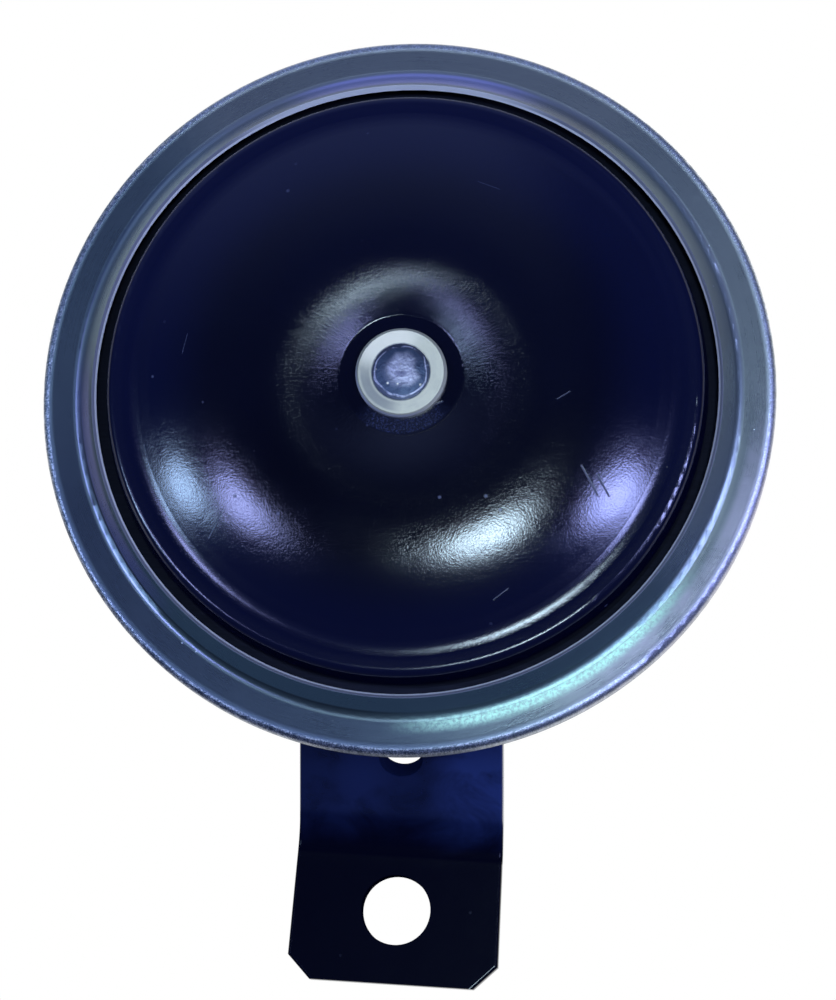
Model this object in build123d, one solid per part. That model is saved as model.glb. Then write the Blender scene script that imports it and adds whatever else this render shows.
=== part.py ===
from build123d import *
import math
import os

# Disc horn on a strap bracket, in millimetres.
# The origin is on the axis of the strap's fixing hole, at the strap's rear seating face.
# +Z runs up the strap to the horn, +X is to the right of someone who faces the horn,
# and the horn sounds towards -Y.
# The round pieces share one axis along Y. A depth is measured backwards from the front
# plane of the clamp ring, so what stands in front of the ring has a negative depth.

# Where the body sits
horn_height = 60.6            # horn axis above the fixing hole

# Clamp ring, pressed sheet crimped round the rim
ring_sheet = 0.7
rim_radius = 45.0
rim_roll_radius = 0.9
land_width = 4.4              # flat land, from the rim to the crease of the lip
crease_bend = 1.3
lip_run = 2.15                # lip, from the crease inwards to its edge
lip_rise = 2.0                # lip edge ahead of the front plane
hem_width = 2.6

# Clamped stack behind the ring
rim_corner_gap = 0.1          # clamped edges short of the ring's rounded corner
front_gasket_thickness = 0.4
front_gasket_width = 2.4
diaphragm_sheet = 0.3
diaphragm_hole_gap = 0.35     # radial, under the washers
rear_gasket_thickness = 0.3
rear_gasket_width = 5.0

# Corrugations of the diaphragm
wave_count = 2
wave_pitch = 7.5
wave_margin = 2.4             # flat sheet between the last wave and the gasket
wave_depth = 0.9
wave_bend = 2.6

# Housing, deep drawn cup
housing_sheet = 1.0
flange_width = 6.8
step_depth = 13.0             # inside face of the step
step_width = 12.6
well_depth = 22.9             # inside face of the floor
wall_draft = 1.8              # outer wall leans in by this much
well_draft = 1.0
mouth_bend = 1.8
step_outer_bend = 3.0
step_inner_bend = 2.0
floor_bend = 2.6

# Tone disc, pressed sheet, sizes of its front face
disc_sheet = 1.0
seat_rise = 6.55              # seat ahead of the ring's front plane
seat_corner_radius = 7.45
seat_bend = 0.7
inner_slope = 23.0
crest_rise = 1.8              # crest ahead of the seat
crest_radius = 15.3
crest_flat = 0.5
groove_drop = 4.0             # groove at the dome's foot behind the crest
groove_bend = 4.0
foot_straight = 0.2           # straight slope between the dome and the groove
band_run = 3.05               # flat band from the groove out to the edge
disc_edge_bend = 1.0
skirt_flare = 0.65
skirt_length = 3.2
skirt_gap = 1.7               # skirt to the lip's front edge

# Stem, collar and what is threaded on the stem
stem_radius = 3.0
stem_fit = 0.05               # radial gap of all that slides over the stem
collar_radius = 5.5
collar_height = 1.05
collar_bevel = 0.35
peen_radius = 3.45
peen_depth = 0.55
peen_crown = 0.25
bush_radius = 5.6
front_washer_radius = 14.0
rear_washer_radius = 11.0
washer_sheet = 0.8

# Armature and magnet
armature_radius = 9.0
armature_waist = 4.2
pusher_radius = 12.0
pusher_width = 2.2
slug_radius = 8.0
slug_length = 2.4
air_gap = 0.8
core_radius = 8.0
stud_radius = 3.95
stud_fit = 0.2
stud_tail = 1.6               # stud that shows behind the nut

# Coil
bobbin_bore_gap = 0.4
bobbin_wall = 0.9
bobbin_flange = 1.1
bobbin_well_gap = 2.8         # bobbin's flange to the well's wall at the floor
bobbin_head_gap = 0.9         # between the contact leaf and the bobbin
winding_inset = 0.9
winding_gap = 0.05

# Contact breaker
leaf_gap = 0.2                # pusher to leaf at rest
leaf_sheet = 0.3
leaf_width = 7.0
leaf_overlap = 1.6            # leaf tip under the pusher
arm_sheet = 1.0
arm_width = 6.0
arm_tip_gap = 1.0             # arm tip to the pusher's side
point_radius = 1.4
point_height = 0.4
point_offset = 2.6            # contact point from the arm's tip
plate_sheet = 0.8             # insulating plates between arm and leaf
cap_sheet = 0.6               # top insulating plate
stack_from_wall = 7.8         # centre of the stack from the step's outer wall
stack_length = 6.0
stack_rivet_radius = 0.9
stack_rivet_spread = 2.2
rivet_head_radius_factor = 1.7
rivet_head_height = 0.6
rivet_fit = 0.05
bracket_sheet = 1.2
bracket_width = 6.0
bracket_lift = 1.5            # bracket plate above its riveted foot
bracket_far_end = 13.0
bracket_bend_at = 7.0
bracket_foot_end = 12.5
bracket_rivet_at = 10.0
bracket_rivet_radius = 1.5

# Adjusting screw
screw_radius = 1.95
screw_at = 10.0
screw_fit = 0.05
screw_head_radius = 3.4
screw_head_height = 2.2
screw_head_gap = 1.2
screw_slot_width = 1.0
screw_slot_depth = 1.2
insert_radius = 3.2
insert_flange_radius = 4.6
insert_flange_height = 1.5
insert_inside = 0.4
insert_tail = 2.9

# Terminals
block_from_wall = 6.8         # centre of the block from the step's outer wall
block_width = 19.0
block_height = 7.6
block_thickness = 6.0
spigot_radius = 2.3           # block's insulating spigots in the housing's holes
inner_plate_sheet = 0.8
inner_plate_inset = 0.8
blade_width = 6.3
blade_sheet = 0.8
blade_spacing = 10.4
blade_length = 8.2
blade_bend = 0.9
blade_tip_bevel = 1.2
blade_hole_radius = 0.85
blade_hole_from_tip = 3.2
terminal_rivet_radius = 1.2

# Strap bracket
strap_sheet = 3.0
strap_low_width = 27.3
strap_top_width = 24.5        # across the horn axis
strap_below_hole = 9.5
strap_corner_cut = 3.0
strap_set_back = 11.5         # low end behind the top end
strap_lean = 40.0             # of the middle between the two bends
strap_low_bend_at = 9.4
strap_bend = 6.0
strap_edge_round = 0.4
fixing_hole_radius = 4.5
locating_hole_radius = 2.8
locating_hole_at = 18.8

# Strap fasteners
flat_washer_radius = 8.6
flat_washer_sheet = 1.4
spring_washer_radius = 7.2
spring_washer_sheet = 1.9
spring_washer_split = 1.2
nut_across_flats = 13.0
nut_height = 6.4
nut_bevel = 0.8

# Radii, each worked in from the rim
crease_radius = rim_radius - land_width
lip_edge_radius = crease_radius - lip_run
clamped_radius = rim_radius - rim_roll_radius - rim_corner_gap
wave_end_radius = clamped_radius - rear_gasket_width - wave_margin
wave_start_radius = wave_end_radius - wave_count * wave_pitch
mouth_radius = clamped_radius - flange_width
step_outer_radius = mouth_radius - wall_draft
well_mouth_radius = step_outer_radius - step_width
well_floor_radius = well_mouth_radius - well_draft
bobbin_radius = well_floor_radius - bobbin_well_gap
stack_centre = step_outer_radius - stack_from_wall
block_centre = step_outer_radius - block_from_wall
skirt_radius = lip_edge_radius - skirt_gap
disc_edge_radius = skirt_radius - skirt_flare
groove_radius = disc_edge_radius - band_run

# Depths of the faces that meet, each from the piece in front of it
ring_back = ring_sheet
diaphragm_front = ring_back + front_gasket_thickness
diaphragm_back = diaphragm_front + diaphragm_sheet
flange_front = diaphragm_back + rear_gasket_thickness
flange_back = flange_front + housing_sheet
step_back = step_depth + housing_sheet
floor_back = well_depth + housing_sheet

seat_depth = -seat_rise
crest_depth = seat_depth - crest_rise
groove_depth = crest_depth + groove_drop
skirt_depth = groove_depth + skirt_length
collar_front = seat_depth - collar_height
disc_back = seat_depth + disc_sheet

front_washer_front = diaphragm_front - washer_sheet
rear_washer_back = diaphragm_back + washer_sheet
pusher_front = rear_washer_back + armature_waist
pusher_back = pusher_front + pusher_width
slug_back = pusher_back + slug_length
core_front = slug_back + air_gap

leaf_front = pusher_back + leaf_gap
leaf_back = leaf_front + leaf_sheet
arm_back = leaf_front - plate_sheet
arm_front = arm_back - arm_sheet
cap_front = arm_front - cap_sheet
bracket_front = leaf_back + plate_sheet
bracket_back = bracket_front + bracket_sheet
bobbin_front = leaf_back + bobbin_head_gap

strap_back = floor_back + strap_sheet
strap_high_bend_at = strap_low_bend_at + strap_set_back / math.tan(math.radians(strap_lean))
front_stand_off = strap_back + strap_set_back
flat_washer_back = strap_back + flat_washer_sheet
spring_washer_back = flat_washer_back + spring_washer_sheet
nut_back = spring_washer_back + nut_height
stud_back = nut_back + stud_tail

horn_axis = Axis((0, 0, horn_height), (0, 1, 0))
section_plane = Plane(origin=(0, -front_stand_off, horn_height))
strap_section_plane = Plane.YZ


def face_plane(depth):
    """Plane across the horn axis that looks forwards, with its own x and y as X and Z."""
    centre = (0, depth - front_stand_off, horn_height)
    return Plane(origin=centre, x_dir=(1, 0, 0), z_dir=(0, -1, 0))


def slab(outline, front, back):
    """A flat outline made solid from its front depth to its back depth."""
    return extrude(face_plane(back) * outline, amount=back - front)


def turned(section):
    """A section of radius and depth turned about the horn axis."""
    return revolve(section_plane * section, axis=horn_axis)


def sheet_section(points, bends, thickness, side):
    """Section of bent sheet that grows from a line of corners to one side."""
    line = FilletPolyline(*points, radius=bends)
    return make_face(offset(line, amount=thickness, side=side, closed=True))


def ring_outline(inner, outer):
    return Circle(outer) - Circle(inner)


def rivet(x, z, radius, front, back):
    """Plain rivet along Y with a round head at each end."""
    head = radius * rivet_head_radius_factor
    place = Pos(x, z)
    shank = slab(place * Circle(radius), front, back)
    front_head = slab(place * Circle(head), front - rivet_head_height, front)
    back_head = slab(place * Circle(head), back, back + rivet_head_height)
    return shank + front_head + back_head


def make_clamp_ring():
    lip_edge = (lip_edge_radius, -lip_rise)
    crease = (crease_radius, 0)
    front_corner = (rim_radius, 0)
    back_corner = (rim_radius, flange_back + ring_sheet)
    hem_end = (rim_radius - rim_roll_radius - hem_width, flange_back + ring_sheet)
    points = [lip_edge, crease, front_corner, back_corner, hem_end]
    bends = [crease_bend, rim_roll_radius, rim_roll_radius]
    return turned(sheet_section(points, bends, ring_sheet, Side.LEFT))


def make_front_gasket():
    outline = ring_outline(clamped_radius - front_gasket_width, clamped_radius)
    return slab(outline, ring_back, diaphragm_front)


def make_rear_gasket():
    outline = ring_outline(clamped_radius - rear_gasket_width, clamped_radius)
    return slab(outline, diaphragm_back, flange_front)


def make_diaphragm():
    points = [(stem_radius + diaphragm_hole_gap, diaphragm_front)]
    bends = []
    for wave in range(wave_count):
        start = wave_start_radius + wave * wave_pitch
        crown = start + wave_pitch / 2
        points += [(start, diaphragm_front), (crown, diaphragm_front + wave_depth)]
        bends += [wave_bend, wave_bend]
    points += [(wave_end_radius, diaphragm_front), (clamped_radius, diaphragm_front)]
    bends += [wave_bend]
    return turned(sheet_section(points, bends, diaphragm_sheet, Side.LEFT))


def make_housing():
    points = [
        (clamped_radius, flange_front),
        (mouth_radius, flange_front),
        (step_outer_radius, step_depth),
        (well_mouth_radius, step_depth),
        (well_floor_radius, well_depth),
        (stud_radius + stud_fit, well_depth),
    ]
    bends = [mouth_bend, step_outer_bend, step_inner_bend, floor_bend]
    cup = turned(sheet_section(points, bends, housing_sheet, Side.RIGHT))
    holes = [
        Pos(stack_centre, screw_at) * Circle(insert_radius + rivet_fit),
        Pos(stack_centre, -bracket_rivet_at) * Circle(bracket_rivet_radius + rivet_fit),
    ]
    for x in blade_places():
        holes.append(Pos(x, block_centre) * Circle(spigot_radius + rivet_fit))
    for hole in holes:
        cup -= slab(hole, step_depth, step_back)
    return cup


def dome_foot_slope(run):
    """Slope at the dome's foot, in radians, where the dome's arc meets the groove's."""
    reach = math.sqrt(run**2 + 4 * groove_bend * groove_drop)
    return 2 * math.atan((reach - run) / (2 * groove_bend))


def make_tone_disc():
    inner = math.radians(inner_slope)
    crest_start = crest_radius - crest_flat / 2
    crest_end = crest_radius + crest_flat / 2
    inner_corner = seat_corner_radius + crest_rise / math.tan(inner)
    inner_dome_bend = (crest_start - inner_corner) / math.tan(inner / 2)
    outer = dome_foot_slope(groove_radius - crest_end)
    outer_corner = groove_radius - groove_drop / math.tan(outer)
    groove_tangent = groove_bend * math.tan(outer / 2)
    dome_tangent = groove_drop / math.sin(outer) - groove_tangent - foot_straight
    outer_dome_bend = dome_tangent / math.tan(outer / 2)
    points = [
        (stem_radius + stem_fit, seat_depth),
        (seat_corner_radius, seat_depth),
        (inner_corner, crest_depth),
        (outer_corner, crest_depth),
        (groove_radius, groove_depth),
        (disc_edge_radius, groove_depth),
        (skirt_radius, skirt_depth),
    ]
    bends = [seat_bend, inner_dome_bend, outer_dome_bend, groove_bend, disc_edge_bend]
    return turned(sheet_section(points, bends, disc_sheet, Side.LEFT))


def make_collar_ring():
    bore = stem_radius + stem_fit
    mouth = peen_radius + stem_fit
    section = Polyline(
        (bore, seat_depth),
        (collar_radius, seat_depth),
        (collar_radius, collar_front + collar_bevel),
        (collar_radius - collar_bevel, collar_front),
        (mouth, collar_front),
        (bore, collar_front + peen_depth),
        close=True,
    )
    return turned(make_face(section))


def make_armature():
    peen_edge = (peen_radius, collar_front)
    crown = (0, collar_front - peen_crown)
    mirror_edge = (-peen_radius, collar_front)
    crown_line = ThreePointArc(mirror_edge, crown, peen_edge).trim(0.5, 1)
    body = Polyline(
        peen_edge,
        (stem_radius, collar_front + peen_depth),
        (stem_radius, rear_washer_back),
        (armature_radius, rear_washer_back),
        (armature_radius, pusher_front),
        (pusher_radius, pusher_front),
        (pusher_radius, pusher_back),
        (slug_radius, pusher_back),
        (slug_radius, slug_back),
        (0, slug_back),
        crown,
    )
    return turned(make_face([crown_line, body]))


def make_spacer_bush():
    return slab(ring_outline(stem_radius + stem_fit, bush_radius), disc_back, front_washer_front)


def make_front_washer():
    outline = ring_outline(stem_radius + stem_fit, front_washer_radius)
    return slab(outline, front_washer_front, diaphragm_front)


def make_rear_washer():
    outline = ring_outline(stem_radius + stem_fit, rear_washer_radius)
    return slab(outline, diaphragm_back, rear_washer_back)


def make_pole_core():
    core = slab(Circle(core_radius), core_front, well_depth)
    return core + slab(Circle(stud_radius), well_depth, stud_back)


def make_coil_bobbin():
    bore = core_radius + bobbin_bore_gap
    tube = slab(ring_outline(bore, bore + bobbin_wall), bobbin_front, well_depth)
    front_flange = slab(ring_outline(bore, bobbin_radius), bobbin_front, bobbin_front + bobbin_flange)
    back_flange = slab(ring_outline(bore, bobbin_radius), well_depth - bobbin_flange, well_depth)
    return tube + front_flange + back_flange


def make_coil_winding():
    inner = core_radius + bobbin_bore_gap + bobbin_wall + winding_gap
    outline = ring_outline(inner, bobbin_radius - winding_inset)
    front = bobbin_front + bobbin_flange + winding_gap
    return slab(outline, front, well_depth - bobbin_flange - winding_gap)


def stack_outline(width, tip):
    """Strip from the rivet stack's outer end towards the axis, with the rivets' holes."""
    end = stack_centre + stack_length / 2
    strip = Pos((end + tip) / 2, 0) * Rectangle(end - tip, width)
    for z in rivet_places():
        strip -= Pos(stack_centre, z) * Circle(stack_rivet_radius + rivet_fit)
    return strip


def rivet_places():
    return [-stack_rivet_spread, stack_rivet_spread]


def blade_places():
    return [-blade_spacing / 2, blade_spacing / 2]


def arm_tip():
    return pusher_radius + arm_tip_gap


def point_place():
    return Pos(arm_tip() + point_offset, 0)


def make_fixed_contact_arm():
    return slab(stack_outline(arm_width, arm_tip()), arm_front, arm_back)


def make_fixed_contact_point():
    return slab(point_place() * Circle(point_radius), arm_back, arm_back + point_height)


def make_moving_contact_leaf():
    return slab(stack_outline(leaf_width, pusher_radius - leaf_overlap), leaf_front, leaf_back)


def make_moving_contact_point():
    return slab(point_place() * Circle(point_radius), arm_back + point_height, leaf_front)


def make_contact_insulators():
    inner_end = stack_centre - stack_length / 2
    outline = stack_outline(leaf_width, inner_end)
    cap = slab(outline, cap_front, arm_front)
    middle = slab(outline, arm_back, leaf_front)
    base = slab(outline, leaf_back, bracket_front)
    return Compound([cap, middle, base])


def make_stack_rivets():
    rivets = []
    for z in rivet_places():
        place = Pos(stack_centre, z)
        shank = slab(place * Circle(stack_rivet_radius), cap_front, bracket_back)
        head_radius = stack_rivet_radius * rivet_head_radius_factor
        head = slab(place * Circle(head_radius), cap_front - rivet_head_height, cap_front)
        rivets.append(shank + head)
    return Compound(rivets)


def make_contact_bracket():
    foot_front = step_depth - bracket_sheet
    lift = foot_front - bracket_front
    bend_run = bracket_bend_at - lift
    points = [
        (-bracket_foot_end, foot_front),
        (-bracket_bend_at, foot_front),
        (-bend_run, bracket_front),
        (bracket_far_end, bracket_front),
    ]
    line = Polyline(*points)
    section = make_face(offset(line, amount=bracket_sheet, side=Side.LEFT, closed=True))
    side = Plane(
        origin=(stack_centre - bracket_width / 2, -front_stand_off, horn_height),
        x_dir=(0, 0, 1),
        z_dir=(-1, 0, 0),
    )
    bracket = extrude(side * section, amount=-bracket_width)
    for z in rivet_places():
        hole = Pos(stack_centre, z) * Circle(stack_rivet_radius + rivet_fit)
        bracket -= slab(hole, bracket_front, bracket_back)
    foot_hole = Pos(stack_centre, -bracket_rivet_at) * Circle(bracket_rivet_radius + rivet_fit)
    return bracket - slab(foot_hole, foot_front, step_depth)


def make_bracket_rivet():
    foot_front = step_depth - bracket_sheet
    return rivet(stack_centre, -bracket_rivet_at, bracket_rivet_radius, foot_front, step_back)


def make_adjusting_insert():
    place = Pos(stack_centre, screw_at)
    back = step_back
    barrel = slab(place * Circle(insert_radius), step_depth - insert_inside, back + insert_tail)
    flange = slab(place * Circle(insert_flange_radius), back, back + insert_flange_height)
    bore = slab(place * Circle(screw_radius + screw_fit), step_depth - insert_inside, back + insert_tail)
    return barrel + flange - bore


def make_adjusting_screw():
    place = Pos(stack_centre, screw_at)
    head_front = step_back + insert_tail + screw_head_gap
    head_back = head_front + screw_head_height
    shank = slab(place * Circle(screw_radius), bracket_back, head_front)
    head = slab(place * Circle(screw_head_radius), head_front, head_back)
    slot_outline = place * Rectangle(2 * screw_head_radius, screw_slot_width)
    return shank + head - slab(slot_outline, head_back - screw_slot_depth, head_back)


def make_terminal_block():
    back = step_back
    block = slab(Pos(0, block_centre) * Rectangle(block_width, block_height), back, back + block_thickness)
    for x in blade_places():
        block += slab(Pos(x, block_centre) * Circle(spigot_radius), step_depth, back)
    for x in blade_places():
        hole = Pos(x, block_centre) * Circle(terminal_rivet_radius + rivet_fit)
        block -= slab(hole, step_depth, back + block_thickness)
    return block


def make_terminal_inner_plate():
    width = block_width - 2 * inner_plate_inset
    height = block_height - 2 * inner_plate_inset
    outline = Pos(0, block_centre) * Rectangle(width, height)
    for x in blade_places():
        outline -= Pos(x, block_centre) * Circle(terminal_rivet_radius + rivet_fit)
    return slab(outline, step_depth - inner_plate_sheet, step_depth)


def make_blade(x):
    """One blade terminal, bent up from its riveted foot, with a bevelled and pierced tip."""
    foot_front = step_back + block_thickness
    foot_back = foot_front + blade_sheet
    tip = foot_front + blade_length
    low = block_centre - block_height / 2
    outer_face = block_centre + block_height / 2
    inner_face = outer_face - blade_sheet
    line = FilletPolyline((low, foot_back), (inner_face, foot_back), (inner_face, tip), radius=blade_bend)
    section = make_face(offset(line, amount=blade_sheet, side=Side.RIGHT, closed=True))
    side_origin = (x + blade_width / 2, -front_stand_off, horn_height)
    side = Plane(origin=side_origin, x_dir=(0, 0, 1), z_dir=(-1, 0, 0))
    blade = extrude(side * section, amount=blade_width)
    tip_edges = blade.faces().sort_by(Axis.Y)[-1].edges().filter_by(Axis.Z)
    blade = chamfer(tip_edges, blade_tip_bevel)
    foot_hole = Pos(x, block_centre) * Circle(terminal_rivet_radius + rivet_fit)
    blade -= slab(foot_hole, foot_front, foot_back)
    tip_hole_place = Pos(x, tip - blade_hole_from_tip - front_stand_off, horn_height + inner_face)
    return blade - tip_hole_place * Cylinder(blade_hole_radius, 2 * blade_sheet)


def make_terminal_blades():
    return Compound([make_blade(x) for x in blade_places()])


def make_terminal_rivets():
    back = step_back + block_thickness + blade_sheet
    front = step_depth - inner_plate_sheet
    rivets = [rivet(x, block_centre, terminal_rivet_radius, front, back) for x in blade_places()]
    return Compound(rivets)


def make_mounting_strap():
    top_front = floor_back - front_stand_off
    low_front = -strap_sheet
    top_end = horn_height + strap_top_width / 2
    points = [
        (low_front, -strap_below_hole),
        (low_front, strap_low_bend_at),
        (top_front, strap_high_bend_at),
        (top_front, top_end),
    ]
    section = sheet_section(points, [strap_bend, strap_bend], strap_sheet, Side.RIGHT)
    strap = extrude(strap_section_plane * section, amount=strap_low_width / 2, both=True)
    low = strap_low_width / 2
    top = strap_top_width / 2
    sides = Polyline(
        (top, horn_height),
        (low, strap_corner_cut - strap_below_hole),
        (low - strap_corner_cut, -strap_below_hole),
        (strap_corner_cut - low, -strap_below_hole),
        (-low, strap_corner_cut - strap_below_hole),
        (-top, horn_height),
    )
    crown = ThreePointArc((-top, horn_height), (0, top_end), (top, horn_height))
    outline = make_face([sides, crown])
    reach = front_stand_off + strap_back
    strap = strap & extrude(Plane.XZ * outline, amount=reach, both=True)
    strap = fillet(strap_edges(strap), strap_edge_round)
    stud_place = Pos(0, horn_height)
    holes = Circle(fixing_hole_radius) + stud_place * Circle(stud_radius + stud_fit)
    strap -= extrude(Plane.XZ * holes, amount=reach, both=True)
    return strap - locating_hole()


def strap_edges(strap):
    """Long edges of the strap's two sides, front and rear."""
    side = strap_top_width / 4
    edges = strap.edges().filter_by(lambda edge: abs(edge.center().X) > side)
    return edges.filter_by(Axis.Y, reverse=True)


def locating_hole():
    """Hole square to the leaning middle of the strap."""
    rise = locating_hole_at - strap_low_bend_at
    forward = rise * math.tan(math.radians(strap_lean))
    on_front = (0, -strap_sheet - forward, locating_hole_at)
    normal = Vector(0, -1, 0).rotate(Axis.X, strap_lean)
    plane = Plane(origin=on_front, x_dir=(1, 0, 0), z_dir=normal)
    return extrude(plane * Circle(locating_hole_radius), amount=2 * strap_sheet, both=True)


def make_flat_washer():
    outline = ring_outline(stud_radius + stud_fit, flat_washer_radius)
    return slab(outline, strap_back, flat_washer_back)


def make_spring_washer():
    outline = ring_outline(stud_radius + stud_fit, spring_washer_radius)
    ring = slab(outline, flat_washer_back, spring_washer_back)
    split_outline = Pos(0, spring_washer_radius / 2) * Rectangle(spring_washer_split, spring_washer_radius)
    return ring - slab(split_outline, flat_washer_back, spring_washer_back)


def make_strap_nut():
    flat_half = nut_across_flats / 2
    corner = flat_half / math.cos(math.radians(30))
    hexagon = RegularPolygon(radius=flat_half, side_count=6, major_radius=False)
    nut = slab(hexagon - Circle(stud_radius), spring_washer_back, nut_back)
    bevel_section = Polyline(
        (0, spring_washer_back),
        (flat_half, spring_washer_back),
        (corner, spring_washer_back + nut_bevel),
        (corner, nut_back - nut_bevel),
        (flat_half, nut_back),
        (0, nut_back),
        close=True,
    )
    return nut & turned(make_face(bevel_section))


PIECES = {
    "housing": make_housing,
    "clamp_ring": make_clamp_ring,
    "front_gasket": make_front_gasket,
    "rear_gasket": make_rear_gasket,
    "diaphragm": make_diaphragm,
    "tone_disc": make_tone_disc,
    "collar_ring": make_collar_ring,
    "armature": make_armature,
    "spacer_bush": make_spacer_bush,
    "front_washer": make_front_washer,
    "rear_washer": make_rear_washer,
    "pole_core": make_pole_core,
    "coil_bobbin": make_coil_bobbin,
    "coil_winding": make_coil_winding,
    "contact_bracket": make_contact_bracket,
    "bracket_rivet": make_bracket_rivet,
    "contact_insulators": make_contact_insulators,
    "fixed_contact_arm": make_fixed_contact_arm,
    "fixed_contact_point": make_fixed_contact_point,
    "moving_contact_leaf": make_moving_contact_leaf,
    "moving_contact_point": make_moving_contact_point,
    "stack_rivets": make_stack_rivets,
    "adjusting_insert": make_adjusting_insert,
    "adjusting_screw": make_adjusting_screw,
    "terminal_block": make_terminal_block,
    "terminal_inner_plate": make_terminal_inner_plate,
    "terminal_blades": make_terminal_blades,
    "terminal_rivets": make_terminal_rivets,
    "mounting_strap": make_mounting_strap,
    "flat_washer": make_flat_washer,
    "spring_washer": make_spring_washer,
    "strap_nut": make_strap_nut,
}

os.makedirs("parts", exist_ok=True)
for name, make in PIECES.items():
    export_step(make(), f"parts/{name}.step")
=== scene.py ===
"""Finishes and stage for a disc horn on a strap bracket, laid out as an add-on."""

import math
import random

import bmesh
import bpy
from bpy.props import FloatProperty, FloatVectorProperty, IntProperty, PointerProperty
from mathutils import Matrix, Vector


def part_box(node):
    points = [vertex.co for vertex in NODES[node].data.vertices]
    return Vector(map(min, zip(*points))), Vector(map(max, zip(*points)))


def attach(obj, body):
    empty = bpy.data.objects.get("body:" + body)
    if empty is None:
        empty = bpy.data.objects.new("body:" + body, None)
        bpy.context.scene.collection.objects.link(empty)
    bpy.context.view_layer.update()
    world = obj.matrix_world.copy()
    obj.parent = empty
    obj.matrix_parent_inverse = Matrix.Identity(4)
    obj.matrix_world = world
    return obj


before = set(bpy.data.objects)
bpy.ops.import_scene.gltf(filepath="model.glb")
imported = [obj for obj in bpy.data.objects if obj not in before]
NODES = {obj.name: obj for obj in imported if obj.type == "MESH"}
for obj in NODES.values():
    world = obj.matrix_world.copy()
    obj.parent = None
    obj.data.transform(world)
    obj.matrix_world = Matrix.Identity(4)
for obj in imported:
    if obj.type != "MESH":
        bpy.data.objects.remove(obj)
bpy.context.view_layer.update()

bl_info = {
    "name": "Disc Horn Finisher",
    "version": (1, 0, 0),
    "blender": (4, 5, 0),
    "location": "3D View > Sidebar > Horn",
    "description": "Paints, plates and stages a disc horn on its strap bracket",
    "category": "Object",
}

BODY = "horn_body"
RIM_LOW, RIM_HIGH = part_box("clamp_ring")
AXIS_HEIGHT = (RIM_LOW.z + RIM_HIGH.z) / 2
RIM_RADIUS = (RIM_HIGH.z - RIM_LOW.z) / 2
STRAP_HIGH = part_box("mounting_strap")[1]
SCREW_LOW, SCREW_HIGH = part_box("adjusting_screw")
INSERT_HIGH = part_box("adjusting_insert")[1]
MM = 0.001

# Holes of the strap: height of the middle, radius and depth of the middle.
FIXING_HOLE = (0.0, 4.5 * MM, -1.5 * MM)
LOCATING_HOLE = (19.76 * MM, 2.8 * MM, -9.74 * MM)
LOCATING_TILT = math.radians(40.0)

# Radii on the disc: seat of the collar, dip, foot of the dome and turned edge.
SEAT = (5.7 * MM, 7.2 * MM)
DIP_START = (7.3 * MM, 7.8 * MM)
DIP_END = (13.0 * MM, 18.0 * MM)
FOOT = (31.2 * MM, 33.0 * MM)
TURNED_EDGE = (34.0 * MM, 34.8 * MM)

# Zones of the ring, as shares of the rim's radius.
CUT_FACE = (0.8552, 0.8568)
CUT_CORNER = (0.8478, 0.8490)
LIP_END = (0.900, 0.909)
CREASE = (0.891, 0.913)
FLAT_START = (0.900, 0.908)
RIM_START = (0.968, 0.980)

# Depth of the bumps in metres, by finish.
PAINT_GRAIN = 0.000011
STRAP_GRAIN = 0.000006
RING_GRAIN = 0.000012

# Height of the strap's bend.
BEND = (7.2 * MM, 11.4 * MM)

# The sealing drop: points round it, and the share of its radius and height for each ring.
DROP_POINTS = 48
POINTS_PER_LOBE = 4
DROP_RINGS = ((0.74, 0.0), (0.76, 1.0), (0.86, 0.82), (1.0, 0.32), (1.02, 0.0))

# The camera's long side in mm, and half the floor's side in metres.
SENSOR = 36.0
FLOOR_REACH = 3.0

# Lamps: name, direction from the horn, width, height, power in watts, colour.
LAMPS = (
    ("main_lamp", (0.125, -0.985, -0.124), 0.36, 0.36, 15.5, (0.64, 0.84, 1.0)),
    ("right_lamp", (0.60, -0.80, -0.112), 0.58, 0.44, 24.0, (0.40, 0.46, 1.0)),
    ("left_lamp", (-0.71, -0.69, -0.13), 0.42, 0.40, 12.0, (0.44, 0.64, 1.0)),
    ("low_left_lamp", (-0.475, -0.87, -0.11), 0.36, 0.36, 9.4, (0.42, 0.48, 1.0)),
    ("back_lamp", (0.35, 0.80, 0.55), 1.2, 1.2, 8.0, (1.0, 1.0, 1.0)),
)

# Hairline scratches on the disc: right and up from the axis, turn, length, width.
DISC_MARKS = (
    (23.2, -12.0, -58.0, 4.6, 0.16),
    (24.8, -12.4, -57.0, 3.4, 0.14),
    (4.6, -3.4, 24.0, 1.6, 0.14),
    (19.6, -2.1, 35.0, 2.2, 0.10),
    (-21.0, -19.5, 64.0, 4.2, 0.09),
    (-26.5, 2.5, 80.0, 3.0, 0.08),
    (9.0, 24.0, -18.0, 3.4, 0.08),
    (13.5, -26.0, 40.0, 2.6, 0.09),
)


# ---------------------------------------------------------------- shader maths


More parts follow.
